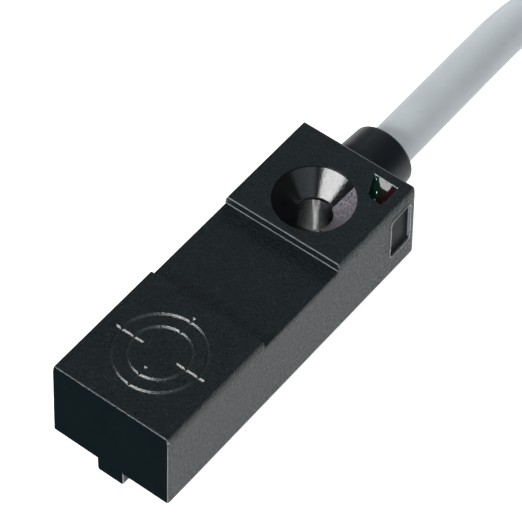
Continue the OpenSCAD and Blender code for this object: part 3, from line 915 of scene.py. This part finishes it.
def side_pane(name):
    """The nearly flat pane in the side."""
    lean = math.tan(SIDE_DRAFT)
    return dished_pane(
        name, SIDE_WINDOW, lambda y, z, h: (h, y, z), rim=lambda y, z: HALF_W - z * lean - 0.12,
        depth=0.2, bottom=HALF_W - WALL, power=(8, 8),
    )


def bead_points():
    """The line of the resin that stands a little proud round the side opening."""
    rim = [Vector(p) for p in grown(SIDE_WINDOW, 0.2)]
    spots = [a.lerp(b, t) for a, b in zip(rim, rim[1:] + rim[:1]) for t in (0.08, 0.3, 0.5, 0.7, 0.92)]
    return [Vector((side_x(p.y, TOP_Z) - 0.01, p.x, p.y)) for p in spots + spots[:1]]


def guide_core(name):
    """The light guide's inner part, which joins the two panes."""
    mesh = rounded_block(name, GUIDE_LOW, GUIDE_HIGH, 0.08)
    smooth(mesh)
    return mesh


def add_windows():
    """The light guide: its two panes, its bead and its inner part."""
    for name, make, resin in (
        ("indicator_window_top", top_pane, window_resin),
        ("indicator_window_side", side_pane, side_window_resin),
    ):
        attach(add_object(name, make(name), "indicator_resin", resin), "root")
    bead = curve_piece("indicator_bead", bead_points(), 0.13, bead_painted_highlight)
    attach(bead, "root")
    core = add_object("light_guide_core", guide_core("light_guide_core"), "indicator_resin", window_resin)
    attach(core, "root")
    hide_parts("light_guide")


add_windows()

# ---- Cable sleeve ----


def add_sleeve():
    """The tapered sleeve, turned about the cable, with a soft outer rim and a lip at the cable."""
    wall_y, neck_y = REAR_Y - CABLE_Z * math.tan(END_DRAFT), REAR_Y - 1.7
    soft, lip, clear = 0.35, 0.12, 0.01
    start_y, taper = wall_y + 0.06, SLEEVE_END_Y - soft - wall_y - 0.06
    profile = [(CABLE_R + clear, neck_y), (SLEEVE_NECK_R, neck_y), (SLEEVE_NECK_R, wall_y - 0.02)]
    profile += [(SLEEVE_R - 0.05, wall_y - 0.02), (SLEEVE_R, start_y)]
    profile += [(SLEEVE_R + (SLEEVE_END_R - SLEEVE_R) * t, start_y + taper * t) for t in (0.25, 0.5, 0.75)]
    profile += arc(SLEEVE_END_R - soft, SLEEVE_END_Y - soft, soft, 0, 90, 6)
    profile += [(CABLE_R + lip, SLEEVE_END_Y), (CABLE_R + clear, SLEEVE_END_Y - lip)]
    mesh = turned("sleeve", profile, 96, along_cable())
    smooth(mesh, 40)
    piece = add_object("sleeve", mesh, "sleeve_rubber", sleeve_black)
    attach(piece, "root")
    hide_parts("cable_sleeve")


add_sleeve()
for piece in [cable, *cable_trim]:
    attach(piece, "root")

# ---- Pieces inside, which keep their CAD shapes ----

chip_black = moulded("chip_plastic", (0.015, 0.015, 0.015), 0.5, grain=8.0, depth=0.006)
copper = metal("enamelled_copper", (0.72, 0.30, 0.12), 0.28)
node_materials = {
    "potting_resin": resin_black,
    "ferrite_core": moulded("ferrite", (0.05, 0.05, 0.053), 0.7, grain=10.0),
    "coil_bobbin": moulded("bobbin_plastic", (0.6, 0.56, 0.42), 0.45, grain=5.0, depth=0.004),
    "coil_winding": copper,
    "coil_leads": copper,
    "circuit_board": moulded("board", (0.01, 0.10, 0.04), 0.35, grain=5.0, depth=0.004),
    "oscillator_ic": chip_black,
    "output_transistor": chip_black,
    "surge_diode": chip_black,
    "reverse_diode": chip_black,
    "capacitors": moulded("ceramic_chip", (0.42, 0.29, 0.15), 0.5, grain=8.0, depth=0.004),
    "resistors": moulded("resistor_film", (0.02, 0.02, 0.024), 0.25, grain=8.0, depth=0.003),
    "status_led": moulded("led_red", (0.7, 0.03, 0.02), 0.15, grain=3.0, depth=0.002),
    "power_led": moulded("led_green", (0.03, 0.5, 0.1), 0.15, grain=3.0, depth=0.002),
    "core_brown": core_colors["brown"],
    "core_blue": core_colors["blue"],
    "core_black": core_colors["black"],
    "solder_joints": metal("solder", (0.7, 0.71, 0.73), 0.2),
}
for name, material in node_materials.items():
    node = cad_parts[name]
    node.data.materials.clear()
    node.data.materials.append(material)

# ---- Table, light and surroundings, in metres ----

# Half the table's width, where its glow begins and ends to fade, and how strong it is at each
TABLE_HALF = 3.0
FADE_FROM, FADE_TO = 0.07, 0.3
GLOW_NEAR, GLOW_FAR = 1.0, 0.2


def add_table():
    """A wide light table: white acrylic lit from below round the object, duller further away."""
    mesh = bpy.data.meshes.new("table")
    corners = ((-1, -1), (1, -1), (1, 1), (-1, 1))
    verts = [(TABLE_HALF * x, TABLE_HALF * y, FLOOR_Z * MM) for x, y in corners]
    mesh.from_pydata(verts, [], [(0, 1, 2, 3)])
    table = bpy.data.objects.new("table", mesh)
    SCENE.collection.objects.link(table)
    m, tree, shader = new_material("table_white", (0.6, 0.6, 0.6), 0.8, Specular_IOR_Level=0.1)
    place = tree.nodes.new("ShaderNodeTexCoord")
    away = add_node(tree, "VectorMath")
    away.operation = "LENGTH"
    tree.links.new(place.outputs["Object"], away.inputs[0])
    fade = add_node(tree, "MapRange", **{
        "From Min": FADE_FROM, "From Max": FADE_TO, "To Min": GLOW_NEAR, "To Max": GLOW_FAR,
    })
    tree.links.new(away.outputs["Value"], fade.inputs["Value"])
    tree.links.new(fade.outputs["Result"], shader.inputs["Emission Strength"])
    shader.inputs["Emission Color"].default_value = (1, 1, 1, 1)
    mesh.materials.append(m)


def add_light(name, toward, distance, size, radiance, tilt=0, aim=(0, -8, 4), color=(1, 1, 1), spread=180):
    """A soft box that shines from a direction on the point aim, which is in millimetres. tilt turns
    it about its own axis, and spread is the angle of its beam, both in degrees."""
    data = bpy.data.lights.new(name, "AREA")
    data.shape = "RECTANGLE"
    data.size, data.size_y = size
    data.energy = radiance * math.pi * size[0] * size[1]
    data.color = color
    data.spread = math.radians(spread)
    light = bpy.data.objects.new(name, data)
    SCENE.collection.objects.link(light)
    way = Vector(toward).normalized()
    light.location = Vector(aim) * MM + way * distance
    light.rotation_mode = "QUATERNION"
    light.rotation_quaternion = way.to_track_quat("Z", "Y") @ Quaternion((0, 0, 1), math.radians(tilt))


def add_lights():
    """Soft boxes round the body, a small strong one aimed at the screw hole, and a narrow beam
    aimed at the cable."""
    add_light(
        "dim_right", toward=(0.742, -0.346, 0.574), distance=0.6, size=(0.6, 0.14), radiance=0.75,
        color=(0.86, 0.97, 1.0),
    )
    add_light(
        "front_left_strip", toward=(-0.23, -0.85, 0.47), distance=0.6, size=(0.58, 0.14), radiance=13,
        tilt=9,
    )
    add_light(
        "front_high", toward=(0.16, -0.44, 0.88), distance=0.6, size=(0.05, 0.08), radiance=110,
        aim=(0, 0, 4),
    )
    add_light("low_rear_left", toward=(-0.37, 0.84, 0.36), distance=0.6, size=(0.30, 0.12), radiance=4)
    add_light("overhead", toward=(-0.12, -0.12, 0.98), distance=0.7, size=(0.18, 0.18), radiance=10)
    add_light(
        "cable_left", toward=(-0.7, 0.1, 0.7), distance=0.12, size=(0.03, 0.03), radiance=0.6,
        aim=(2, 40, 3), spread=30,
    )


def add_world():
    """A faint cool light from all round."""
    world = bpy.data.worlds.new("world")
    world.use_nodes = True
    background = world.node_tree.nodes["Background"]
    background.inputs["Color"].default_value = (0.93, 0.97, 1.0, 1)
    background.inputs["Strength"].default_value = 0.05
    SCENE.world = world


add_table()
add_lights()
add_world()
SCENE.view_settings.view_transform = "Standard"
